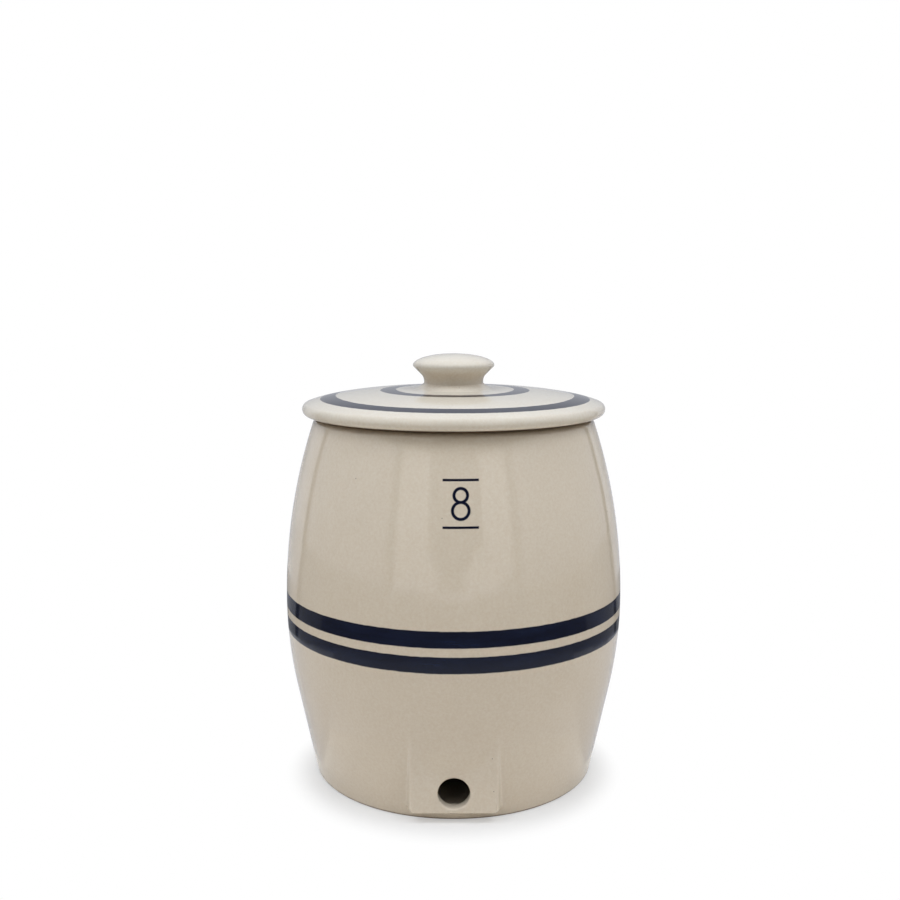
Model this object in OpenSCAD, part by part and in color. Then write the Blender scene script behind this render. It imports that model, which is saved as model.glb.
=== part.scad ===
// Stoneware drink keg: a cast barrel with a flat pad and a hole for a tap,
// and a loose domed lid with a knob.
// Millimetres, +Z up. The barrel stands on z = 0 about the Z axis, and its tap pad faces -Y.

/* [Barrel] */
// Outside diameter at the belly, the widest place
belly_d = 234; // [200:1:280]
// Height of the belly above the table
belly_h = 122; // [110:1:140]
// Height of the rim that the lid rests on
rim_h = 248; // [230:1:280]
// Radius of the shoulder curve, from the belly up to the rim
shoulder_r = 386; // [330:1:500]
// Radius of the hip curve, from the belly down to the straight lower wall
hip_r = 292; // [220:1:360]
// Lean of the straight lower wall, in degrees
taper = 11.8; // [8:0.1:14]
// Thickness of the cast wall, all round
wall = 8; // [6:0.5:11]
// Radius of the two edges of the rim
rim_edge_r = 3; // [1:0.25:3.5]

/* [Floor and foot] */
// Thickness of the floor
floor_t = 7; // [5:0.5:10]
// Radius of the corner between the floor and the inside wall
floor_corner_r = 8; // [4:0.5:14]
// Width of the ring that stands on the table
foot_w = 16; // [8:1:30]
// Depth of the recess inside that ring
foot_recess = 1.5; // [0.5:0.25:3]
// Radius of the outer edge of the foot
foot_edge_r = 2; // [1:0.25:4]

/* [Tap pad] */
// Width of the flat pad that a tap tightens against
pad_w = 56; // [48:1:70]
// How far the lower edge of the pad stands out from the barrel
pad_stand = 5; // [3:0.5:8]
// Height of the lower edge of the pad above the table
pad_foot = 7; // [4:0.5:9]
// Lean of the pad's sides, in degrees, that lets the cast leave its mould
pad_draft = 25; // [5:1:40]
// Radius of the pad's edges
pad_edge_r = 3; // [1:0.5:5]
// Diameter of the tap hole
tap_d = 20.4; // [16:0.1:24]
// Height of the bottom of the tap hole above the inside floor
tap_rise = 1.7; // [1.5:0.1:10]
// Radius of the two edges of the tap hole
tap_edge_r = 1.2; // [0.5:0.1:1.5]

/* [Lid] */
// How far the lid stands out past the rim
lid_over = 7.3; // [6:0.1:14]
// Radius of the lid's rounded edge
lid_edge_r = 4.3; // [3:0.1:6]
// Height of the seat that carries the lid and keeps its edge clear of the rim
seat_h = 2; // [0.5:0.25:3]
// Height of the dome's crown above the rim
lid_rise = 19.8; // [16:0.2:28]
// Slope of the dome where it meets its rounded edge, in degrees
dome_slope = 20; // [14:0.5:30]
// Thickness of the dome
lid_t = 8; // [6:0.5:10]
// Gap between the mouth of the keg and the ring under the lid
lid_gap = 1.5; // [0.5:0.1:3]
// Depth of the ring under the lid, below the rim
ring_h = 8; // [5:0.5:14]
// Thickness of the ring
ring_w = 6; // [5:0.5:10]
// Radius of the lower edges of the ring
ring_edge_r = 2; // [1:0.25:2.25]
// Radius of the corner between the ring and the underside of the dome
ring_corner_r = 4; // [2:0.5:6]

/* [Knob] */
// Diameter of the knob's cap
knob_d = 56; // [44:1:70]
// How far the cap overhangs the neck, for the fingers
knob_grip = 7.6; // [5:0.2:10]
// Thickness of the cap at its middle
cap_t = 10.8; // [9.5:0.1:16]
// Radius of the rounded edge of the cap
cap_edge_r = 3.6; // [2:0.1:4.4]
// Radius of the cove under the cap
cove_r = 10; // [7:0.5:16]
// Straight length of the neck between its fillet and the cove
neck_h = 0.4; // [0.2:0.2:10]
// Radius of the fillet where the neck grows out of the dome
neck_fillet_r = 4; // [2:0.5:8]

/* [Hidden] */

// How far a chord may stand off the curve that it follows
curve_tol = 0.03;
// How far a cut runs past the face that it opens
past = 2;
// Chords along the dome, from its crown to its edge
dome_steps = 18;
// Fragments round a full turn
$fn = 180;

stoneware = "#d3cab8";
stoneware_lid = "#dbd3c3";

// Barrel
belly_r = belly_d / 2;
shoulder_x = belly_r - shoulder_r;
hip_x = belly_r - hip_r;
floor_h = foot_recess + floor_t;
// The rim keeps a flat seat between its two edges
rim_round = min(rim_edge_r, 0.4 * wall);
rim_rise = rim_h - rim_round - belly_h;
rim_out_a = asin(rim_rise / (shoulder_r - rim_round));
rim_in_a = asin(rim_rise / (shoulder_r - wall + rim_round));
rim_out_x = shoulder_x + (shoulder_r - rim_round) * cos(rim_out_a);
rim_in_x = shoulder_x + (shoulder_r - wall + rim_round) * cos(rim_in_a);
rim_r = rim_out_x + rim_round;
mouth_r = rim_in_x - rim_round;

// Distance from the axis of the straight lower wall at height z, drawn in by inset
function wall_x(inset, z) = hip_x + (hip_r - inset + (z - belly_h) * sin(taper)) / cos(taper);

// Tap pad
foot_ring_r = wall_x(0, 0) - foot_w;
pad_y = wall_x(0, pad_foot) + pad_stand;
tap_r = tap_d / 2;
tap_h = floor_h + tap_rise + tap_r;

// Lid: the dome leaves its crown level and runs out on the rounded edge at its slope
lid_r = rim_r + lid_over;
edge_x = lid_r - lid_edge_r;
edge_h = rim_h + seat_h + lid_edge_r;
crown_h = rim_h + lid_rise;
dome_x = edge_x + lid_edge_r * sin(dome_slope);
dome_drop = crown_h - edge_h - lid_edge_r * cos(dome_slope);
// Where the level line through the crown and the slope line through the edge cross
bend_x = dome_x - dome_drop / tan(dome_slope);

// A point of the dome, from its crown at t = 0 to its rounded edge at t = 1
function dome_point(t) = [2 * t * (1 - t) * bend_x + t * t * dome_x, crown_h - t * t * dome_drop];
// The t of the point at a distance x from the axis
function dome_t(x) = x / (bend_x + sqrt(bend_x * bend_x + (dome_x - 2 * bend_x) * x));
// How many degrees the dome leans there
function dome_lean(t) = atan2(t * dome_drop, (1 - 2 * t) * bend_x + t * dome_x);

// Ring under the lid, and the hollow inside it, which keeps the dome's thickness
ring_r = mouth_r - lid_gap;
ring_in_r = ring_r - ring_w;
ring_foot = rim_h - ring_h;
under_drop = crown_h - dome_point(dome_t(ring_in_r)).y;
under_r = (ring_in_r * ring_in_r + under_drop * under_drop) / (2 * under_drop);
under_z = crown_h - lid_t - under_r;
ring_corner_a = acos((ring_in_r - ring_corner_r) / (under_r - ring_corner_r));

// Knob: fillet, neck, cove and cap, stacked from the dome up
knob_r = knob_d / 2;
neck_r = knob_r - knob_grip;
fillet_lean = dome_lean(dome_t(neck_r + neck_fillet_r));
fillet_t = dome_t(neck_r + neck_fillet_r * (1 - sin(fillet_lean)));
fillet_h = dome_point(fillet_t).y + neck_fillet_r * cos(fillet_lean);
cap_x = knob_r - cap_edge_r;
// Where the cove runs out on the cap's edge, as an angle below level
crease_a = 70;
cove_w = cap_x + cap_edge_r * cos(crease_a) - neck_r;
cove_top_a = acos((cove_w - cove_r) / cove_r);
cove_h = fillet_h + neck_h;
cap_h = cove_h + cove_r * sin(cove_top_a) + cap_edge_r * sin(crease_a);
cap_rise = cap_t - cap_edge_r;
cap_crown_r = crown_radius(cap_x, cap_rise, cap_edge_r);
cap_crown_z = cap_h + cap_rise - cap_crown_r;
cap_edge_a = acos(cap_x / (cap_crown_r - cap_edge_r));

// Radius of a crown that rises a height above the centre of the rounded edge that it is tangent to
function crown_radius(x, rise, edge_r) = (x * x + rise * rise - edge_r * edge_r) / (2 * (rise - edge_r));

// Points along an arc about c, from one angle to another
function arc(c, r, from, to) =
    let (steps = max(2, ceil(abs(to - from) / (2 * acos(1 - min(0.5, curve_tol / r))))))
    [for (i = [0:steps]) c + r * [cos(from + (to - from) * i / steps), sin(from + (to - from) * i / steps)]];

// The runs of an outline joined into one, without the points that two runs share
function outline(runs) =
    let (points = [for (run = runs) each run])
    [for (i = [0:len(points) - 1]) if (i == 0 || norm(points[i] - points[i - 1]) > curve_tol / 3) points[i]];

// Outside of the barrel as a half section, from the foot recess up to the rim
barrel_outline = outline([
    [[0, foot_recess], [foot_ring_r - foot_recess, foot_recess], [foot_ring_r, 0]],
    arc([wall_x(foot_edge_r, foot_edge_r), foot_edge_r], foot_edge_r, -90, -taper),
    arc([hip_x, belly_h], hip_r, -taper, 0),
    arc([shoulder_x, belly_h], shoulder_r, 0, rim_out_a),
    arc([rim_out_x, rim_h - rim_round], rim_round, rim_out_a, 90),
    [[0, rim_h]]
]);

// Inside of the barrel as a half section, from the floor up through the mouth
cavity_outline = outline([
    [[0, floor_h]],
    arc([wall_x(wall + floor_corner_r, floor_h + floor_corner_r), floor_h + floor_corner_r],
        floor_corner_r, -90, -taper),
    arc([hip_x, belly_h], hip_r - wall, -taper, 0),
    arc([shoulder_x, belly_h], shoulder_r - wall, 0, rim_in_a),
    arc([rim_in_x, rim_h - rim_round], rim_round, 180 + rim_in_a, 90),
    [[rim_in_x, rim_h + past], [0, rim_h + past]]
]);

// Lid as a half section: underside, ring, seat, edge, dome and knob
lid_outline = outline([
    arc([0, under_z], under_r, 90, ring_corner_a),
    arc([ring_in_r - ring_corner_r, under_z + (under_r - ring_corner_r) * sin(ring_corner_a)],
        ring_corner_r, ring_corner_a, 0),
    arc([ring_in_r + ring_edge_r, ring_foot + ring_edge_r], ring_edge_r, 180, 270),
    arc([ring_r - ring_edge_r, ring_foot + ring_edge_r], ring_edge_r, 270, 360),
    [[ring_r, rim_h]],
    arc([rim_out_x + seat_h, rim_h], seat_h, 180, 90),
    arc([edge_x, edge_h], lid_edge_r, -90, 90 - dome_slope),
    [for (i = [dome_steps:-1:0]) dome_point(fillet_t + (1 - fillet_t) * i / dome_steps)],
    arc([neck_r + neck_fillet_r, fillet_h], neck_fillet_r, 270 - fillet_lean, 180),
    arc([neck_r + cove_r, cove_h], cove_r, 180, cove_top_a),
    arc([cap_x, cap_h], cap_edge_r, -crease_a, cap_edge_a),
    arc([0, cap_crown_z], cap_crown_r, cap_edge_a, 90)
]);

// Block of the tap pad, drawn in by inset: a flat face with rounded edges,
// on sides that lean back into the barrel
module pad_block(inset, foot, edge_r) {
    half = pad_w / 2 - inset;
    face = pad_y - inset;
    side_a = 90 - pad_draft;
    edge_at = half - edge_r * tan(side_a / 2);
    intersection() {
        // Plan: the face and its two leaning sides
        translate([0, 0, foot])
            linear_extrude(belly_h - foot)
                polygon(outline([
                    [[-half - face * tan(pad_draft), 0]],
                    arc([-edge_at, edge_r - face], edge_r, 180 + pad_draft, 270),
                    arc([edge_at, edge_r - face], edge_r, 270, 360 - pad_draft),
                    [[half + face * tan(pad_draft), 0]]
                ]));
        // Side: the rounded lower edge of the face
        rotate([90, 0, 90])
            linear_extrude(2 * (half + face), center = true)
                polygon(outline([
                    [[0, belly_h], [-face, belly_h]],
                    arc([edge_r - face, foot + edge_r], edge_r, 180, 270),
                    [[0, foot]]
                ]));
    }
}

// Straight hole through the pad, with both of its edges rounded
module tap_hole() {
    translate([0, -pad_y, tap_h])
        rotate([-90, 0, 0])
            rotate_extrude()
                polygon(outline([
                    [[0, -past], [tap_r + tap_edge_r, -past]],
                    arc([tap_r + tap_edge_r, tap_edge_r], tap_edge_r, 270, 180),
                    arc([tap_r + tap_edge_r, wall - tap_edge_r], tap_edge_r, 180, 90),
                    [[tap_r + tap_edge_r, wall + past], [0, wall + past]]
                ]));
}

module keg_body() {
    color(stoneware)
        difference() {
            union() {
                rotate_extrude() polygon(barrel_outline);
                pad_block(0, pad_foot, pad_edge_r);
            }
            rotate_extrude() polygon(cavity_outline);
            pad_block(wall, floor_h, pad_edge_r);
            tap_hole();
        }
}

module lid() {
    color(stoneware_lid)
        rotate_extrude() polygon(lid_outline);
}

keg_body();
lid();
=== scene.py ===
import math

import bmesh
import bpy
from mathutils import Matrix, Vector


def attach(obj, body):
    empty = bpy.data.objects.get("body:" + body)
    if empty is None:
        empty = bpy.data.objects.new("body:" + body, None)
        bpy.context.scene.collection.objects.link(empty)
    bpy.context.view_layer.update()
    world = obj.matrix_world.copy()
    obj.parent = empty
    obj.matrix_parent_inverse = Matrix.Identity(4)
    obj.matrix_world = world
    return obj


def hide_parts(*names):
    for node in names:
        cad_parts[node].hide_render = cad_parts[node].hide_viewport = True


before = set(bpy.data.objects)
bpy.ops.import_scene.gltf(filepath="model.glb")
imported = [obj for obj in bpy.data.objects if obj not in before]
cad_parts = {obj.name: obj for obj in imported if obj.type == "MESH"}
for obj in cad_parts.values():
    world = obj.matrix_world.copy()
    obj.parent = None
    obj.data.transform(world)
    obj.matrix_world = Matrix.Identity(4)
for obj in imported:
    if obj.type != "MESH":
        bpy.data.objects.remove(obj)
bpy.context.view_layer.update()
scene = bpy.context.scene
mm = 0.001
print("frame loaded:", sorted(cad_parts))


# Small helpers

def linearColour(hexCode):  # sRGB hex to linear, with full alpha
    parts = [int(hexCode[i:i + 2], 16) / 255 for i in (1, 3, 5)]
    return [c / 12.92 if c <= 0.04045 else ((c + 0.055) / 1.055) ** 2.4 for c in parts] + [1.0]


def addNode(tree, kind, links=None, **settings):
    node = tree.nodes.new("ShaderNode" + kind)
    for name, value in settings.items():
        setattr(node, name, value)
    for socket, value in (links or {}).items():
        if isinstance(value, bpy.types.Node):
            value = value.outputs[0]
        if isinstance(value, bpy.types.NodeSocket):
            tree.links.new(value, node.inputs[socket])
        else:
            node.inputs[socket].default_value = value
    return node


def newMaterial(name):
    material = bpy.data.materials.new(name)
    material.use_nodes = True
    material.node_tree.nodes.clear()
    return material


def lineTo(outline, tip, x, z, steps):  # straight on to a point, in millimetres
    start = tip.co.copy()
    end = Vector((x, 0, z)) * mm
    for step in range(1, steps + 1):
        tip = bmesh.ops.extrude_vert_indiv(outline, verts=[tip])["verts"][0]
        tip.co = start.lerp(end, step / steps)
    return tip


def arcAbout(outline, tip, x, z, turn, steps):  # round a centre, in degrees, anticlockwise from the front
    made = bmesh.ops.spin(outline, geom=[tip], cent=(x * mm, 0, z * mm), axis=(0, -1, 0),
                          angle=math.radians(turn), steps=steps)
    return [part for part in made["geom_last"] if isinstance(part, bmesh.types.BMVert)][0]


def spinRound(outline, steps):  # turn a half section about the upright axis into a closed solid
    bmesh.ops.spin(outline, geom=outline.verts[:] + outline.edges[:], cent=(0, 0, 0), axis=(0, 0, 1),
                   angle=math.tau, steps=steps, use_merge=True)
    bmesh.ops.remove_doubles(outline, verts=outline.verts[:], dist=0.001 * mm)
    bmesh.ops.recalc_face_normals(outline, faces=outline.faces[:])


def makeObject(name, mesh, material=None):
    data = bpy.data.meshes.new(name)
    mesh.to_mesh(data)
    mesh.free()
    for face in data.polygons:
        face.use_smooth = True
    if material:
        data.materials.append(material)
    made = bpy.data.objects.new(name, data)
    scene.collection.objects.link(made)
    return made


def softMax(a, b, blend):  # the larger of two, rounded over where they are close
    near = max(blend - abs(a - b), 0) / blend
    return max(a, b) + near * near * blend / 4


def softMin(a, b, blend):
    return -softMax(-a, -b, blend)


# Barrel: the cast wall, spun from one closed half section

barrel = {  # millimetres and degrees
    "bellyDiameter": 234,
    "bellyHeight": 122,
    "rimHeight": 248,
    "shoulderRadius": 386,
    "hipRadius": 292,
    "taper": 11.8,
    "wall": 8,
    "rimEdge": 3,
    "rimOuterEdge": 4.6,
    "floor": 7,
    "floorCorner": 8,
    "footWidth": 16,
    "footRecess": 1.5,
    "footEdge": 2,
    "fineTop": 12,  # the rows are close below this height, where the pad's lower edge is
    "spinSteps": 216,
}
barrelRows = {  # mesh rows in each stretch of the half section, from under the base round to the floor
    "recess": 10,
    "recessSide": 2,
    "foot": 4,
    "footEdge": 8,
    "fineWall": 28,
    "lowerWall": 36,
    "hip": 22,
    "shoulder": 44,
    "rimOuter": 10,
    "rimTop": 2,
    "rimInner": 8,
    "insideShoulder": 36,
    "insideHip": 16,
    "insideWall": 26,
    "floorCorner": 12,
    "floor": 14,
}
hipX = barrel["bellyDiameter"] / 2 - barrel["hipRadius"]
shoulderX = barrel["bellyDiameter"] / 2 - barrel["shoulderRadius"]
floorHeight = barrel["footRecess"] + barrel["floor"]
lean = math.radians(barrel["taper"])


def wallX(inset, z):  # the straight lower wall, drawn in by an inset
    rise = z - barrel["bellyHeight"]
    return hipX + (barrel["hipRadius"] - inset + rise * math.sin(lean)) / math.cos(lean)


def spinBarrel():
    belly, rim, wall = barrel["bellyHeight"], barrel["rimHeight"], barrel["wall"]
    outerEdge, edge = barrel["rimOuterEdge"], barrel["rimEdge"]
    footEdge, corner = barrel["footEdge"], barrel["floorCorner"]
    recess, taper, fineTop = barrel["footRecess"], barrel["taper"], barrel["fineTop"]
    rows = barrelRows
    outerReach = barrel["shoulderRadius"] - outerEdge
    innerReach = barrel["shoulderRadius"] - wall + edge
    rimOuter = math.asin((rim - outerEdge - belly) / outerReach)
    rimInner = math.asin((rim - edge - belly) / innerReach)
    rimOuterX = shoulderX + outerReach * math.cos(rimOuter)
    rimInnerX = shoulderX + innerReach * math.cos(rimInner)
    footRing = wallX(0, 0) - barrel["footWidth"]
    footX = wallX(footEdge, footEdge)
    hipStart = barrel["hipRadius"] * math.sin(lean)
    cornerX = wallX(wall + corner, floorHeight + corner)
    cornerTop = floorHeight + corner * (1 - math.sin(lean))
    outline = bmesh.new()
    tip = outline.verts.new((0, 0, recess * mm))
    tip = lineTo(outline, tip, footRing - recess, recess, rows["recess"])
    tip = lineTo(outline, tip, footRing, 0, rows["recessSide"])
    tip = lineTo(outline, tip, footX, 0, rows["foot"])
    tip = arcAbout(outline, tip, footX, footEdge, 90 - taper, rows["footEdge"])
    tip = lineTo(outline, tip, wallX(0, fineTop), fineTop, rows["fineWall"])
    tip = lineTo(outline, tip, wallX(0, belly - hipStart), belly - hipStart, rows["lowerWall"])
    tip = arcAbout(outline, tip, hipX, belly, taper, rows["hip"])
    tip = arcAbout(outline, tip, shoulderX, belly, math.degrees(rimOuter), rows["shoulder"])
    tip = arcAbout(outline, tip, rimOuterX, rim - outerEdge, 90 - math.degrees(rimOuter), rows["rimOuter"])
    tip = lineTo(outline, tip, rimInnerX, rim, rows["rimTop"])
    tip = arcAbout(outline, tip, rimInnerX, rim - edge, 90 + math.degrees(rimInner), rows["rimInner"])
    tip = arcAbout(outline, tip, shoulderX, belly, -math.degrees(rimInner), rows["insideShoulder"])
    tip = arcAbout(outline, tip, hipX, belly, -taper, rows["insideHip"])
    tip = lineTo(outline, tip, wallX(wall, cornerTop), cornerTop, rows["insideWall"])
    tip = arcAbout(outline, tip, cornerX, floorHeight + corner, taper - 90, rows["floorCorner"])
    lineTo(outline, tip, 0, floorHeight, rows["floor"])
    spinRound(outline, barrel["spinSteps"])
    return outline


# Tap pad: the flat that a tap tightens against, and the pocket behind it that keeps the wall even

pad = {  # millimetres and degrees
    "width": 56,
    "stand": 5,  # out from the wall, at the pad's lower edge
    "foot": 7,
    "draft": 13,
    "corner": 2.2,
    "underDraft": 8,
    "edgeBlend": 4.5,
    "footBlend": 4.5,
    "topBlend": 0.8,
    "sideBlend": 5,
    "sideShare": (18, 27),  # from here to here across, the top's blend gives way to the side's
    "pocketRise": 1.5,
    "reach": 46,
    "top": 72,
    "depth": 20,
    "levelTo": 0.01,
    "longerThan": 0.5,
    "cuts": 5,
}
padFace = wallX(0, pad["foot"]) + pad["stand"]


def smoothStep(low, high, value):  # eases from 0 to 1
    share = min(1, max(0, (value - low) / (high - low)))
    return share * share * (3 - 2 * share)


def padDepth(x, z, inset):  # how far out the pad stands, measured from the axis
    corner = pad["corner"]
    drop = min(corner, max(0, pad["foot"] + corner - z))
    halfWidth = pad["width"] / 2 - corner + math.sqrt(corner ** 2 - drop ** 2)
    face = padFace - inset
    side = face + (halfWidth - inset - abs(x)) / math.tan(math.radians(pad["draft"]))
    return softMin(face, side, pad["edgeBlend"])


def pushOutPad(mesh):
    def inReach(vert):  # the lower front of the wall, inside and out
        x, y, z = vert.co / mm
        inWall = math.hypot(x, y) > wallX(pad["depth"], 0)
        return inWall and y < 0 and abs(x) < pad["reach"] and z < pad["top"]

    def runsAcross(edge):
        run = (edge.verts[0].co - edge.verts[1].co) / mm
        return abs(run.z) < pad["levelTo"] and abs(run.x) > pad["longerThan"]

    across = [edge for edge in mesh.edges if runsAcross(edge) and all(inReach(vert) for vert in edge.verts)]
    bmesh.ops.subdivide_edges(mesh, edges=across, cuts=pad["cuts"], use_grid_fill=True)
    for vert in mesh.verts:
        if not inReach(vert):
            continue
        x, y, z = vert.co / mm
        sideShare = smoothStep(*pad["sideShare"], abs(x))
        blend = pad["topBlend"] + (pad["sideBlend"] - pad["topBlend"]) * sideShare
        if math.hypot(x, y) > wallX(barrel["wall"] / 2, z):
            under = padFace + (z - pad["foot"]) / math.tan(math.radians(pad["underDraft"]))
            block = softMin(padDepth(x, z, 0), under, pad["footBlend"])
            vert.co.y = -softMax(-y, block, blend) * mm
        elif z > floorHeight:
            pocket = softMax(-y, padDepth(x, z, barrel["wall"]), pad["topBlend"])
            rise = smoothStep(floorHeight, floorHeight + pad["pocketRise"], z)
            vert.co.y = (y - (pocket + y) * rise) * mm


# Tap hole: straight through the pad, with both of its edges rounded under the glaze

tapHole = {  # millimetres and degrees
    "diameter": 20.4,
    "rise": 1.7,  # from the floor to the bottom of the hole
    "edge": 1.2,
    "flare": 80,
    "past": 1.0,
    "edgeSteps": 8,
    "boreSteps": 4,
    "spinSteps": 96,
}


def tapHoleCutter():
    radius, edge, flare = tapHole["diameter"] / 2, tapHole["edge"], math.radians(tapHole["flare"])
    wall, past, edgeSteps = barrel["wall"], tapHole["past"], tapHole["edgeSteps"]
    lipX = radius + edge * (1 - math.cos(flare))
    lipZ = edge * (1 - math.sin(flare))
    flareX = lipX + (lipZ + past) * math.tan(flare)
    outline = bmesh.new()
    tip = outline.verts.new((0, 0, -past * mm))
    tip = lineTo(outline, tip, flareX, -past, 1)
    tip = lineTo(outline, tip, lipX, lipZ, 1)
    tip = arcAbout(outline, tip, radius + edge, edge, -tapHole["flare"], edgeSteps)
    tip = lineTo(outline, tip, radius, wall - edge, tapHole["boreSteps"])
    tip = arcAbout(outline, tip, radius + edge, wall - edge, -tapHole["flare"], edgeSteps)
    tip = lineTo(outline, tip, flareX, wall + past, 1)
    lineTo(outline, tip, 0, wall + past, 1)
    spinRound(outline, tapHole["spinSteps"])
    place = Matrix.Translation((0, -padFace * mm, (floorHeight + tapHole["rise"] + radius) * mm))
    bmesh.ops.transform(outline, matrix=place @ Matrix.Rotation(math.radians(-90), 4, "X"),
                        verts=outline.verts[:])
    return makeObject("tapHoleCutter", outline)


def cutAway(piece, cutter):
    cut = piece.modifiers.new("tapHole", "BOOLEAN")
    cut.operation = "DIFFERENCE"
    cut.solver = "EXACT"
    cut.object = cutter
    drilled = bpy.data.meshes.new_from_object(piece.evaluated_get(bpy.context.evaluated_depsgraph_get()))
    piece.modifiers.clear()
    piece.data = drilled
    bpy.data.objects.remove(cutter)


# Lid: dome, rounded edge, locating ring and knob in one half section

lid = {  # millimetres and degrees
    "over": 7.3,  # past the flat top of the barrel's rim
    "edge": 4.3,
    "seat": 2,
    "seatWidth": 0.6,
    "rise": 19.8,
    "slope": 20,
    "thickness": 8,
    "gap": 1.5,
    "ringHeight": 8,
    "ringWidth": 6,
    "ringEdge": 2,
    "ringCorner": 4,
    "knobDiameter": 56,
    "knobGrip": 7.6,
    "capRise": 7.8,
    "capEdge": 1.6,
    "undercut": 45,
    "cove": 6.8,
    "neckHeight": 4.6,
    "flareRun": 9,
    "flareRise": 3.5,
    "spinSteps": 216,
}
lidRows = {  # mesh rows in each stretch of the half section, from the underside round to the knob
    "underside": 24,
    "ringCorner": 10,
    "ringSide": 6,
    "ringEdge": 6,
    "ringFoot": 2,
    "seat": 3,
    "seatCove": 8,
    "brim": 3,
    "edge": 28,
    "dome": 40,
    "flare": 12,
    "cove": 12,
    "undercut": 4,
    "capEdge": 6,
    "cap": 32,
}


def spinLid():
    rim, belly, edge = barrel["rimHeight"], barrel["bellyHeight"], lid["edge"]
    rows = lidRows
    rimReach = barrel["shoulderRadius"] - barrel["rimEdge"]
    mouthReach = barrel["shoulderRadius"] - barrel["wall"] + barrel["rimEdge"]
    rimRise = rim - barrel["rimEdge"] - belly
    rimFlat = shoulderX + math.sqrt(rimReach ** 2 - rimRise ** 2)
    lidRadius = rimFlat + barrel["rimEdge"] + lid["over"]
    mouth = shoulderX + math.sqrt(mouthReach ** 2 - rimRise ** 2) - barrel["rimEdge"]
    slope = math.radians(lid["slope"])
    crown = rim + lid["rise"]
    edgeX, edgeZ = lidRadius - edge, rim + lid["seat"] + edge
    domeX = edgeX + edge * math.sin(slope)
    domeDrop = crown - edgeZ - edge * math.cos(slope)
    bendX = domeX - domeDrop / math.tan(slope)

    def domePoint(t):  # the dome is a parabola, level at the crown
        return 2 * t * (1 - t) * bendX + t * t * domeX, crown - t * t * domeDrop

    def domeShare(x):  # where along the dome it passes this radius
        return x / (bendX + math.sqrt(bendX * bendX + (domeX - 2 * bendX) * x))

    ring = mouth - lid["gap"]
    seatX = mouth + barrel["rimEdge"] + lid["seatWidth"]
    ringIn = ring - lid["ringWidth"]
    ringFoot = rim - lid["ringHeight"]
    ringEdge, corner = lid["ringEdge"], lid["ringCorner"]
    underDrop = crown - domePoint(domeShare(ringIn))[1]
    underRadius = (ringIn ** 2 + underDrop ** 2) / (2 * underDrop)
    underZ = crown - lid["thickness"] - underRadius
    cornerTurn = math.acos((ringIn - corner) / (underRadius - corner))
    cornerZ = underZ + (underRadius - corner) * math.sin(cornerTurn)

    knob = lid["knobDiameter"] / 2
    neck = knob - lid["knobGrip"]
    flareShare = domeShare(neck + lid["flareRun"])
    capEdge, cove, under = lid["capEdge"], lid["cove"], math.radians(lid["undercut"])
    coveZ = crown + lid["neckHeight"]
    coveTopX = neck + cove * (1 - math.sin(under))
    coveTopZ = coveZ + cove * math.cos(under)
    capX = knob - capEdge
    lipX = capX + capEdge * math.sin(under)
    lipZ = coveTopZ + (lipX - coveTopX) * math.tan(under)
    capZ = lipZ + capEdge * math.cos(under)

    outline = bmesh.new()
    tip = outline.verts.new((0, 0, (crown - lid["thickness"]) * mm))
    tip = arcAbout(outline, tip, 0, underZ, math.degrees(cornerTurn) - 90, rows["underside"])
    tip = arcAbout(outline, tip, ringIn - corner, cornerZ, -math.degrees(cornerTurn), rows["ringCorner"])
    tip = lineTo(outline, tip, ringIn, ringFoot + ringEdge, rows["ringSide"])
    tip = arcAbout(outline, tip, ringIn + ringEdge, ringFoot + ringEdge, 90, rows["ringEdge"])
    tip = lineTo(outline, tip, ring - ringEdge, ringFoot, rows["ringFoot"])
    tip = arcAbout(outline, tip, ring - ringEdge, ringFoot + ringEdge, 90, rows["ringEdge"])
    tip = lineTo(outline, tip, ring, rim, rows["ringSide"])
    tip = lineTo(outline, tip, seatX, rim, rows["seat"])
    tip = arcAbout(outline, tip, seatX + lid["seat"], rim, -90, rows["seatCove"])
    tip = lineTo(outline, tip, edgeX, rim + lid["seat"], rows["brim"])
    tip = arcAbout(outline, tip, edgeX, edgeZ, 180 - lid["slope"], rows["edge"])
    for step in range(1, rows["dome"] + 1):
        share = 1 - (1 - flareShare) * step / rows["dome"]
        tip = lineTo(outline, tip, *domePoint(share), 1)
    for step in range(1, rows["flare"] + 1):  # the dome turns up to the neck
        share = step / rows["flare"]
        x = neck + lid["flareRun"] * (1 - share)
        tip = lineTo(outline, tip, x, domePoint(domeShare(x))[1] + lid["flareRise"] * share ** 2, 1)
    tip = lineTo(outline, tip, neck, coveZ, 1)
    tip = arcAbout(outline, tip, neck + cove, coveZ, lid["undercut"] - 90, rows["cove"])
    tip = lineTo(outline, tip, lipX, lipZ, rows["undercut"])
    tip = arcAbout(outline, tip, capX, capZ, 90 - lid["undercut"], rows["capEdge"])
    for step in range(1, rows["cap"] + 1):  # the top of the knob is half an ellipse
        turn = math.radians(90) * step / rows["cap"]
        tip = lineTo(outline, tip, knob * math.cos(turn), capZ + lid["capRise"] * math.sin(turn), 1)
    spinRound(outline, lid["spinSteps"])
    return outline


# Stoneware under a clear gloss glaze: warm cream clay with faint mottle and a few iron specks, cobalt
# brushed on under the glaze, bare buff clay where the pot stood in the kiln, and painted shade under the
# knob's cap and under the lid's rim

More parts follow.
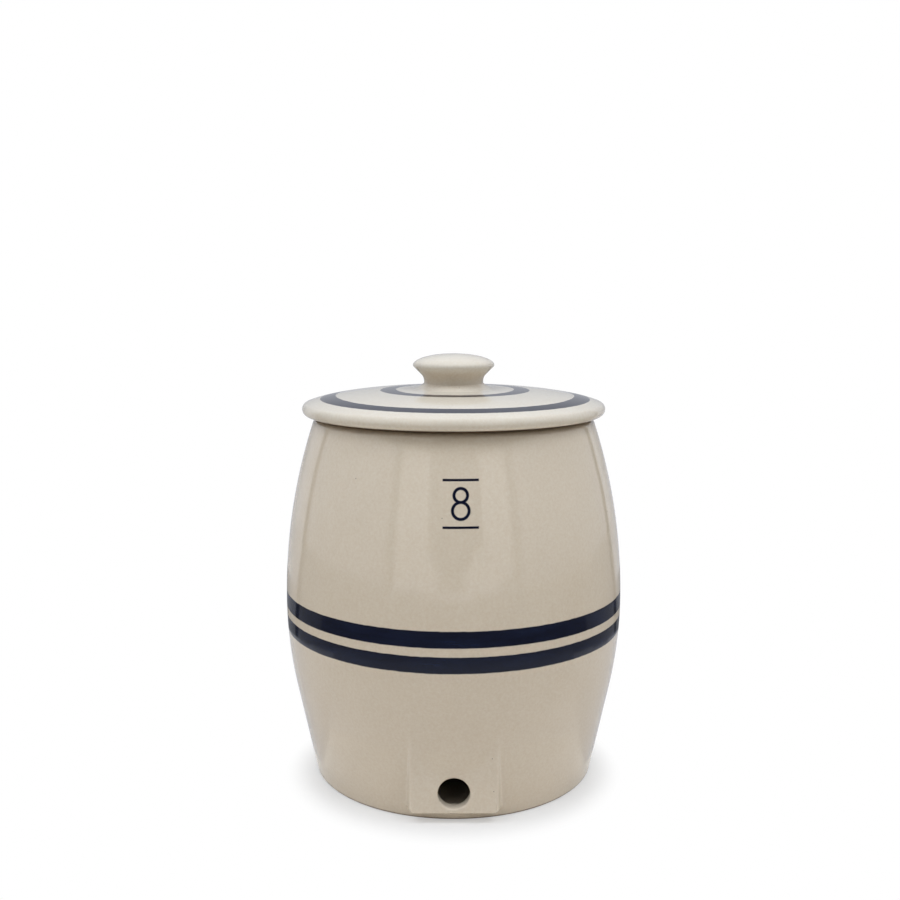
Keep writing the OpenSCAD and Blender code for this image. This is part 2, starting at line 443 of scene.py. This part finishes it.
glaze = {  # sizes in millimetres
    "barrelCream": "#DCD5C8",
    # the barrel's stoneware, painted lighter and cooler here: painted light on the lid's top, which is lit
    # more from above
    "lidCream": "#DFDCD3",
    "warmTint": "#B79D7A",
    "warmth": 0.22,
    "warmRange": (0.40, 0.80),
    "mottleSize": 1.7,
    "mottleRoughness": 0.65,
    "cloudSize": 34,
    "cloudShare": 0.2,
    "speck": "#4A3A2C",
    "speckDepth": 0.8,
    "speckSpacing": 18,
    "speckRadius": 0.42,
    "cobaltDeep": "#090F26",
    "cobaltThin": "#111A34",
    "brushSize": 26,
    "brushStretch": 6,
    "brushRange": (0.35, 0.68),
    "edgeWobble": 0.30,
    "wobbleSize": 6,
    "edgeSoft": 0.30,
    # dark clay colour: the barrel's bare foot, and painted shade under the lid's rim that darkens the gap
    "bareClayAndGapShade": "#84725F",
    "bareRoughness": 0.85,
    "gloss": (0.06, 0.10),
    "glossRange": (0.3, 0.7),
    "ior": 1.55,
    "peelSize": 2.2,
    "peelDepth": 0.010,
    "waveSize": 45,
    "waveDepth": 0.10,
}

# Where the paint, the bare clay and the painted shade are, in millimetres up from the foot or out from the
# axis
bands = {"middle": 116.8, "offset": 8.13, "halfWidth": 5.33, "reach": 113}
rings = {
    "middle": 66.5,
    "offset": 20.6,
    "halfWidth": 5.3,
    "centre": (0.9, -2.0),
    "underside": 271.6,  # below this height at the middle, falling outwards, nothing is painted
    "fall": 0.214,
    "front": (75, 0),  # the rings thin from one of these angles to the other
    "frontShift": 1.2,
    "frontThin": 1.2,
}
# painted shade under the knob's cap: the heights where it comes in and goes out, and its strength
knobShade = {"foot": (268.5, 271.5), "lip": (278.5, 282.5), "warmth": 0.34}
# bare clay up to these heights: the barrel's kiln foot, and as painted shade under the lid's rim inside this
# reach
kilnFootAndLidShade = {"barrel": 1.3, "lid": 250.6, "lidReach": 99}
capacityMark = {
    "x": 4,
    "z": 207,
    "upperRing": 4.1,
    "lowerRing": 5.0,
    "stroke": 1.9,
    "barReach": 11,
    "barRise": 14,
    "barThick": 1.5,
    "reach": 103.2,
}


def cellScale(size):  # texture scale for a pattern of this size in millimetres
    return 1 / (size * mm)


def stripeGap(tree, along, stripes):  # distance outside the nearer of two stripes
    off = addNode(tree, "Math", {0: along, 1: stripes["middle"] * mm}, operation="SUBTRACT")
    off = addNode(tree, "Math", {0: off}, operation="ABSOLUTE")
    off = addNode(tree, "Math", {0: off, 1: stripes["offset"] * mm}, operation="SUBTRACT")
    off = addNode(tree, "Math", {0: off}, operation="ABSOLUTE")
    return addNode(tree, "Math", {0: off, 1: stripes["halfWidth"] * mm}, operation="SUBTRACT")


def outsideOnly(tree, gap, across, reach):  # keep a stripe or mark off the inside of the wall
    inside = addNode(tree, "Math", {0: reach * mm, 1: across}, operation="SUBTRACT")
    return addNode(tree, "Math", {0: gap, 1: inside}, operation="MAXIMUM")


def markGap(tree, split):  # distance outside a plain numeral 8 between two short bars, on the front
    markX, markZ = capacityMark["x"] * mm, capacityMark["z"] * mm
    upper, lower = capacityMark["upperRing"] * mm, capacityMark["lowerRing"] * mm
    flat = addNode(tree, "CombineXYZ", {"X": split.outputs["X"], "Z": split.outputs["Z"]})
    numeral = None
    for radius, height in ((upper, lower), (lower, -upper)):
        away = addNode(tree, "VectorMath", {0: flat, 1: (markX, 0, markZ + height)}, operation="DISTANCE")
        off = addNode(tree, "Math", {0: away.outputs["Value"], 1: radius}, operation="SUBTRACT")
        off = addNode(tree, "Math", {0: off}, operation="ABSOLUTE")
        off = addNode(tree, "Math", {0: off, 1: capacityMark["stroke"] / 2 * mm}, operation="SUBTRACT")
        numeral = addNode(tree, "Math", {0: off, 1: numeral}, operation="MINIMUM") if numeral else off
    across = addNode(tree, "Math", {0: split.outputs["X"], 1: markX}, operation="SUBTRACT")
    across = addNode(tree, "Math", {0: across}, operation="ABSOLUTE")
    across = addNode(tree, "Math", {0: across, 1: capacityMark["barReach"] * mm}, operation="SUBTRACT")
    up = addNode(tree, "Math", {0: split.outputs["Z"], 1: markZ}, operation="SUBTRACT")
    up = addNode(tree, "Math", {0: up}, operation="ABSOLUTE")
    up = addNode(tree, "Math", {0: up, 1: capacityMark["barRise"] * mm}, operation="SUBTRACT")
    up = addNode(tree, "Math", {0: up}, operation="ABSOLUTE")
    up = addNode(tree, "Math", {0: up, 1: capacityMark["barThick"] / 2 * mm}, operation="SUBTRACT")
    bars = addNode(tree, "Math", {0: across, 1: up}, operation="MAXIMUM")
    both = addNode(tree, "Math", {0: numeral, 1: bars}, operation="MINIMUM")
    return addNode(tree, "Math", {0: both, 1: split.outputs["Y"]}, operation="MAXIMUM")


def stonewareGlaze(name, cream, bareHeight, onLid):
    material = newMaterial(name)
    tree = material.node_tree
    place = addNode(tree, "TexCoord").outputs["Object"]
    split = addNode(tree, "SeparateXYZ", {0: place})

    # cream clay seen through the glaze: fine mottle in drifting clouds, and rare iron specks
    mottle = addNode(tree, "TexNoise", {"Vector": place, "Scale": cellScale(glaze["mottleSize"]),
                                        "Detail": 4, "Roughness": glaze["mottleRoughness"]})
    cloud = addNode(tree, "TexNoise", {"Vector": place, "Scale": cellScale(glaze["cloudSize"]), "Detail": 2})
    patch = addNode(tree, "Math", {0: cloud, 1: glaze["cloudShare"], 2: mottle}, operation="MULTIPLY_ADD")
    low, high = glaze["warmRange"]
    patch = addNode(tree, "MapRange", {"Value": patch, 1: low, 2: high, 3: 0.0, 4: glaze["warmth"]})
    if onLid:  # painted shade: the cream turns warmer and darker in the hollow under the knob's cap
        foot, lip = knobShade["foot"], knobShade["lip"]
        rise = addNode(tree, "MapRange", {"Value": split.outputs["Z"], 1: foot[0] * mm, 2: foot[1] * mm})
        fall = addNode(tree, "MapRange", {"Value": split.outputs["Z"], 1: lip[1] * mm, 2: lip[0] * mm})
        paintedShade = addNode(tree, "Math", {0: rise, 1: fall}, operation="MULTIPLY")
        patch = addNode(tree, "Math", {0: paintedShade, 1: knobShade["warmth"], 2: patch}, operation="MULTIPLY_ADD")
    clay = addNode(tree, "MixRGB", {"Fac": patch, "Color1": linearColour(cream),
                                    "Color2": linearColour(glaze["warmTint"])})
    speck = addNode(tree, "TexVoronoi", {"Vector": place, "Scale": cellScale(glaze["speckSpacing"])})
    speckSize = glaze["speckRadius"] / glaze["speckSpacing"]
    speck = addNode(tree, "MapRange", {"Value": speck, 1: speckSize, 2: speckSize / 2,
                                       3: 0.0, 4: glaze["speckDepth"]})
    clay = addNode(tree, "MixRGB", {"Fac": speck, "Color1": clay, "Color2": linearColour(glaze["speck"])})

    # cobalt stripes, laid on with a brush as the pot turns, so their edges waver and their colour streaks
    level = addNode(tree, "CombineXYZ", {"X": split.outputs["X"], "Y": split.outputs["Y"]})
    across = addNode(tree, "VectorMath", {0: level}, operation="LENGTH").outputs["Value"]
    along = split.outputs["Z"]
    if onLid:  # by hand, so a little off the middle of the lid
        centre = [part * mm for part in rings["centre"]] + [0]
        along = addNode(tree, "VectorMath", {0: level, 1: centre}, operation="DISTANCE").outputs["Value"]
    wobble = addNode(tree, "TexNoise", {"Vector": place, "Scale": cellScale(glaze["wobbleSize"]),
                                        "Detail": 3})
    wobble = addNode(tree, "MapRange", {"Value": wobble, 3: -glaze["edgeWobble"] * mm,
                                        4: glaze["edgeWobble"] * mm})
    drawn = addNode(tree, "Math", {0: along, 1: wobble})
    if onLid:  # the brush was lighter at the front, so the rings are thinner and flatter there
        aim = addNode(tree, "Math", {0: split.outputs["Y"], 1: across}, operation="DIVIDE")
        start, full = [-math.cos(math.radians(turn)) for turn in rings["front"]]
        front = addNode(tree, "MapRange", {"Value": aim, 1: start, 2: full}, interpolation_type="SMOOTHSTEP")
        drawn = addNode(tree, "Math", {0: front, 1: -rings["frontShift"] * mm, 2: drawn},
                        operation="MULTIPLY_ADD")
    gap = stripeGap(tree, drawn, rings if onLid else bands)
    if onLid:
        gap = addNode(tree, "Math", {0: front, 1: rings["frontThin"] * mm, 2: gap}, operation="MULTIPLY_ADD")
        below = addNode(tree, "Math", {0: along, 1: -rings["fall"], 2: rings["underside"] * mm},
                        operation="MULTIPLY_ADD")
        below = addNode(tree, "Math", {0: below, 1: split.outputs["Z"]}, operation="SUBTRACT")
        gap = addNode(tree, "Math", {0: gap, 1: below}, operation="MAXIMUM")
    else:
        gap = outsideOnly(tree, gap, across, bands["reach"])
        mark = outsideOnly(tree, markGap(tree, split), across, capacityMark["reach"])
        gap = addNode(tree, "Math", {0: gap, 1: mark}, operation="MINIMUM")
    soft = glaze["edgeSoft"] * mm
    painted = addNode(tree, "MapRange", {"Value": gap, 1: soft, 2: -soft}, interpolation_type="SMOOTHSTEP")
    stretched = addNode(tree, "Math", {0: along, 1: glaze["brushStretch"]}, operation="MULTIPLY")
    stroke = addNode(tree, "CombineXYZ", {"X": split.outputs["X"], "Y": split.outputs["Y"], "Z": stretched})
    stroke = addNode(tree, "TexNoise", {"Vector": stroke, "Scale": cellScale(glaze["brushSize"]),
                                        "Detail": 3})
    thick, thin = glaze["brushRange"]
    stroke = addNode(tree, "MapRange", {"Value": stroke, 1: thick, 2: thin})
    cobalt = addNode(tree, "MixRGB", {"Fac": stroke, "Color1": linearColour(glaze["cobaltDeep"]),
                                      "Color2": linearColour(glaze["cobaltThin"])})
    glazed = addNode(tree, "MixRGB", {"Fac": painted, "Color1": clay, "Color2": cobalt})

    # bare buff clay where the glaze was wiped off before firing, and painted shade: dark clay under the
    # lid's rim
    bareShare = addNode(tree, "Math", {0: split.outputs["Z"], 1: bareHeight * mm}, operation="SUBTRACT")
    if onLid:  # under the rim of the lid, and not round its edge: painted shade that darkens the gap beside the barrel
        outside = addNode(tree, "Math", {0: across, 1: kilnFootAndLidShade["lidReach"] * mm}, operation="SUBTRACT")
        bareShare = addNode(tree, "Math", {0: bareShare, 1: outside}, operation="MAXIMUM")
    bareShare = addNode(tree, "Math", {0: bareShare, 1: wobble})
    bareShare = addNode(tree, "MapRange", {"Value": bareShare, 1: soft, 2: -soft})
    colour = addNode(tree, "MixRGB", {"Fac": bareShare, "Color1": glazed,
                                      "Color2": linearColour(glaze["bareClayAndGapShade"])})

    # the gloss varies a little, and the fired surface has a faint orange peel on slow waves
    low, high = glaze["glossRange"]
    shiniest, dullest = glaze["gloss"]
    gloss = addNode(tree, "MapRange", {"Value": cloud, 1: low, 2: high, 3: shiniest, 4: dullest})
    bare = addNode(tree, "Math", {0: bareShare, 1: glaze["bareRoughness"]}, operation="MULTIPLY")
    roughness = addNode(tree, "Math", {0: gloss, 1: bare}, operation="MAXIMUM")
    wave = addNode(tree, "TexNoise", {"Vector": place, "Scale": cellScale(glaze["waveSize"]), "Detail": 1})
    peel = addNode(tree, "TexNoise", {"Vector": place, "Scale": cellScale(glaze["peelSize"]), "Detail": 2})
    bump = addNode(tree, "Bump", {"Height": wave, "Distance": glaze["waveDepth"] * mm, "Strength": 1.0})
    bump = addNode(tree, "Bump", {"Height": peel, "Distance": glaze["peelDepth"] * mm, "Strength": 1.0,
                                  "Normal": bump})
    shader = addNode(tree, "BsdfPrincipled", {"Base Color": colour, "Roughness": roughness,
                                              "IOR": glaze["ior"], "Normal": bump})
    addNode(tree, "OutputMaterial", {"Surface": shader})
    return material


barrelGlaze = stonewareGlaze("glossStonewareCobaltBands", glaze["barrelCream"], kilnFootAndLidShade["barrel"], False)
lidGlaze = stonewareGlaze("glossStonewareCobaltRings", glaze["lidCream"], kilnFootAndLidShade["lid"], True)
print("glazes mixed")


# Pieces

creaseAngle = 35  # corners sharper than this keep a crisp edge, and the rest shade smoothly


def sharpen(piece):
    piece.data.set_sharp_from_angle(angle=math.radians(creaseAngle))


barrelMesh = spinBarrel()
pushOutPad(barrelMesh)
barrelPiece = makeObject("stonewareBarrel", barrelMesh, barrelGlaze)
cutAway(barrelPiece, tapHoleCutter())
sharpen(barrelPiece)
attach(barrelPiece, "keg")
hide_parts("keg_body")
print("barrel faces:", len(barrelPiece.data.polygons))

lidPiece = makeObject("stonewareLid", spinLid(), lidGlaze)
sharpen(lidPiece)
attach(lidPiece, "lid")
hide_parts("lid")
print("lid faces:", len(lidPiece.data.polygons))


# Studio: white paper under the keg, white surroundings that are brighter overhead, and a softbox on each
# side. Cards stand for what the gloss mirrors: the table, papers, walls, posts and a dark column behind
# the camera. Only reflections see them, so they light nothing

studio = {  # metres
    "floorReach": 4.0,
    "floorSegments": 96,
    "floorBounce": (0.80, 0.73, 0.64),
    "floorSeen": (0.75, 0.765, 0.785),
    "floorFade": (0.092, 0.119),
    "floorGlow": 0.4,
    "floorMiddle": (0, -0.014, 0),
    "horizonLight": 0.03,
    "zenithLight": 0.90,
    "cardSteps": 48,
    "cardTint": (0.95, 0.98, 1.06, 1),
}
softboxes = {
    "leftSoftbox": {"power": 17.0, "size": 1.2, "place": (-1.071, -0.722, 1.97), "aim": (0, 0, 0.13)},
    "rightSoftbox": {"power": 17.0, "size": 1.2, "place": (1.071, -0.722, 1.97), "aim": (0, 0, 0.13)},
}

# Angles go round from the front, plus to the right. Levels go from 0, black, to 1, white
tableCards = {  # lying flat, with their levels at the inner and outer edges
    "greyTable": {"radii": (0.33, 2.6), "angles": (-119, 129), "height": 0.003, "levels": (0.22, 0.22)},
    "nearTable": {"radii": (0.15, 0.42), "angles": (-74, 74), "height": 0.004, "levels": (0.9, 0.1)},
    "frontTable": {"radii": (0.42, 1.2), "angles": (-88, 88), "height": 0.005, "levels": (0.12, 0.12)},
    "sideTable": {"radii": (0.33, 0.62), "angles": (129, 241), "height": 0.003, "levels": (0.2, 0.35)},
    "backTable": {"radii": (0.62, 2.19), "angles": (129, 241), "height": 0.003, "levels": (0.6, 0.6)},
    "rightNear": {"radii": (0.105, 0.34), "angles": (74, 180), "height": 0.003, "levels": (0.65, 0.65)},
    "leftNear": {"radii": (0.105, 0.34), "angles": (-180, -74), "height": 0.003, "levels": (0.65, 0.65)},
    "frontPaper": {"radii": (1.12, 1.45), "angles": (-14, 11), "height": 0.006, "levels": (1, 1)},
    "leftPaper": {"radii": (1.4, 2.6), "angles": (-38, -10), "height": 0.006, "levels": (1, 1)},
    "rightPaper": {"radii": (1.4, 2.6), "angles": (8, 29), "height": 0.006, "levels": (1, 1)},
    "rightSeam": {"radii": (0.33, 1.2), "angles": (126, 132), "height": 0.007, "levels": (0.05, 0.05)},
    "leftSeam": {"radii": (0.33, 1.2), "angles": (-121, -115), "height": 0.007, "levels": (0.05, 0.05)},
}
wallCards = {  # standing upright, with their levels at the foot and the top
    "cameraColumn": {"radius": 1.4, "angles": (-17, 19), "heights": (0.24, 2.0), "levels": (0.02, 0.02)},
    "columnMiddle": {"radius": 1.4, "angles": (-13, 12), "heights": (0.14, 0.24), "levels": (0.02, 0.02)},
    "columnFoot": {"radius": 1.4, "angles": (-7, 6), "heights": (0.04, 0.14), "levels": (0.02, 0.02)},
    "frontLintel": {"radius": 1.42, "angles": (-62, 62), "heights": (0.86, 1.02), "levels": (0.05, 0.05)},
    "rightEdge": {"radius": 1.4, "angles": (38, 44), "heights": (0.01, 1.3), "levels": (0.05, 0.05)},
    "leftEdge": {"radius": 1.4, "angles": (-44, -38), "heights": (0.01, 1.3), "levels": (0.05, 0.05)},
    "rightWall": {"radius": 1.5, "angles": (40, 129), "heights": (0.01, 1.3), "levels": (0.6, 0.85)},
    "leftWall": {"radius": 1.5, "angles": (-119, -39), "heights": (0.01, 1.3), "levels": (0.6, 0.85)},
    "rightBack": {"radius": 1.5, "angles": (129, 141), "heights": (0.01, 1.3), "levels": (0.75, 0.75)},
    "leftBack": {"radius": 1.5, "angles": (-141, -119), "heights": (0.01, 1.3), "levels": (0.75, 0.75)},
    "rightPost": {"radius": 1.2, "angles": (126, 132), "heights": (0.01, 1.0), "levels": (0.02, 0.02)},
    "leftPost": {"radius": 1.2, "angles": (-121, -115), "heights": (0.01, 1.0), "levels": (0.02, 0.02)},
    "backWall": {"radius": 2.2, "angles": (139, 221), "heights": (0.01, 2.3), "levels": (0.5, 0.95)},
}
shading = ("cameraColumn",)  # this one also keeps light off the keg


def glowingCard(name, reach, levels):  # glows from one level at its near edge to another at its far edge
    material = newMaterial(name)
    tree = material.node_tree
    away = addNode(tree, "VectorMath", {0: addNode(tree, "TexCoord").outputs["Object"]}, operation="LENGTH")
    level = addNode(tree, "MapRange", {"Value": away.outputs["Value"], 1: reach[0], 2: reach[1],
                                       3: levels[0], 4: levels[1]})
    glow = addNode(tree, "Emission", {"Color": studio["cardTint"], "Strength": level})
    addNode(tree, "OutputMaterial", {"Surface": glow})
    return material


def placeCard(name, radii, angles, heights, levels):  # swept round the keg, and hidden from the camera
    turn = Matrix.Rotation(math.radians(angles[0]), 3, "Z")
    mesh = bmesh.new()
    ends = list(zip(radii, heights))
    near, far = [mesh.verts.new(turn @ Vector((0, -radius, height))) for radius, height in ends]
    edge = mesh.edges.new((near, far))
    bmesh.ops.spin(mesh, geom=[near, far, edge], cent=(0, 0, 0), axis=(0, 0, 1),
                   angle=math.radians(angles[1] - angles[0]), steps=studio["cardSteps"])
    reach = [math.hypot(radius, height) for radius, height in ends]
    card = makeObject(name, mesh, glowingCard(name, reach, levels))
    for ray in ("camera", "transmission", "volume_scatter"):
        setattr(card, "visible_" + ray, False)
    card.visible_diffuse = name in shading
    card.visible_shadow = name in shading


def whiteToTheEye(tree):  # 1 for what is seen, straight or in a reflection, and 0 for light on the keg
    path = addNode(tree, "LightPath")
    seen = addNode(tree, "Math", {0: path.outputs["Is Camera Ray"], 1: path.outputs["Is Glossy Ray"]},
                   operation="MAXIMUM")
    return addNode(tree, "Math", {0: seen, 1: path.outputs["Is Transmission Ray"]}, operation="MAXIMUM")


def layFloor():  # white paper, shaded where the keg stands and plain white further off
    material = newMaterial("whitePaper")
    tree = material.node_tree
    seen = whiteToTheEye(tree)
    colour = addNode(tree, "MixRGB", {"Fac": seen, "Color1": (*studio["floorBounce"], 1),
                                      "Color2": (*studio["floorSeen"], 1)})
    paper = addNode(tree, "BsdfDiffuse", {"Color": colour})
    place = addNode(tree, "TexCoord").outputs["Object"]
    away = addNode(tree, "VectorMath", {0: place, 1: studio["floorMiddle"]}, operation="DISTANCE")
    near, far = studio["floorFade"]
    fade = addNode(tree, "MapRange", {"Value": away.outputs["Value"], 1: near, 2: far,
                                      3: studio["floorGlow"]}, interpolation_type="SMOOTHSTEP")
    fade = addNode(tree, "Math", {0: fade, 1: seen}, operation="MULTIPLY")
    white = addNode(tree, "Emission", {"Color": (1, 1, 1, 1), "Strength": 1.0})
    surface = addNode(tree, "MixShader", {0: fade, 1: paper, 2: white})
    addNode(tree, "OutputMaterial", {"Surface": surface})
    mesh = bmesh.new()
    bmesh.ops.create_circle(mesh, cap_ends=True, segments=studio["floorSegments"],
                            radius=studio["floorReach"])
    makeObject("studioFloor", mesh, material)


def lightWorld():  # plain white to the eye, and a softer light on the keg that grows overhead
    world = bpy.data.worlds.new("whiteStudio")
    world.use_nodes = True
    scene.world = world
    tree = world.node_tree
    tree.nodes.clear()
    sky = addNode(tree, "SeparateXYZ", {0: addNode(tree, "TexCoord").outputs["Generated"]})
    light = addNode(tree, "MapRange", {"Value": sky.outputs["Z"], 3: studio["horizonLight"],
                                       4: studio["zenithLight"]})
    strength = addNode(tree, "MapRange", {"Value": whiteToTheEye(tree), 3: light, 4: 1.0})
    back = addNode(tree, "Background", {"Color": (1, 1, 1, 1), "Strength": strength})
    addNode(tree, "OutputWorld", {"Surface": back})


def hangSoftbox(name, power, size, place, aim):  # the gloss shows the cards, not the lamps
    lamp = bpy.data.lights.new(name, "AREA")
    lamp.energy = power
    lamp.size = size
    hung = bpy.data.objects.new(name, lamp)
    hung.location = place
    hung.rotation_euler = (Vector(aim) - hung.location).to_track_quat("-Z", "Y").to_euler()
    hung.visible_glossy = False
    scene.collection.objects.link(hung)


layFloor()
lightWorld()
for name, softbox in softboxes.items():
    hangSoftbox(name, **softbox)
for name, card in tableCards.items():
    placeCard(name, card["radii"], card["angles"], (card["height"], card["height"]), card["levels"])
for name, card in wallCards.items():
    placeCard(name, (card["radius"], card["radius"]), card["angles"], card["heights"], card["levels"])
print("studio lit:", len(tableCards) + len(wallCards), "cards")


# Camera: straight on to the pad from a little above the lid

camera = {  # metres and degrees, with the lens and sensor in millimetres
    "place": (-0.00249, -0.75822, 0.33504),
    "lookDown": 8.32,
    "lens": 44.0,
    "sensor": 36,
    "nearest": 0.01,
}
lens = bpy.data.cameras.new("photoCamera")
lens.lens = camera["lens"]
lens.sensor_width = camera["sensor"]
lens.clip_start = camera["nearest"]
eye = bpy.data.objects.new("photoCamera", lens)
eye.location = camera["place"]
eye.rotation_euler = (math.radians(90 - camera["lookDown"]), 0, 0)
scene.collection.objects.link(eye)
scene.camera = eye
scene.view_settings.view_transform = "Standard"
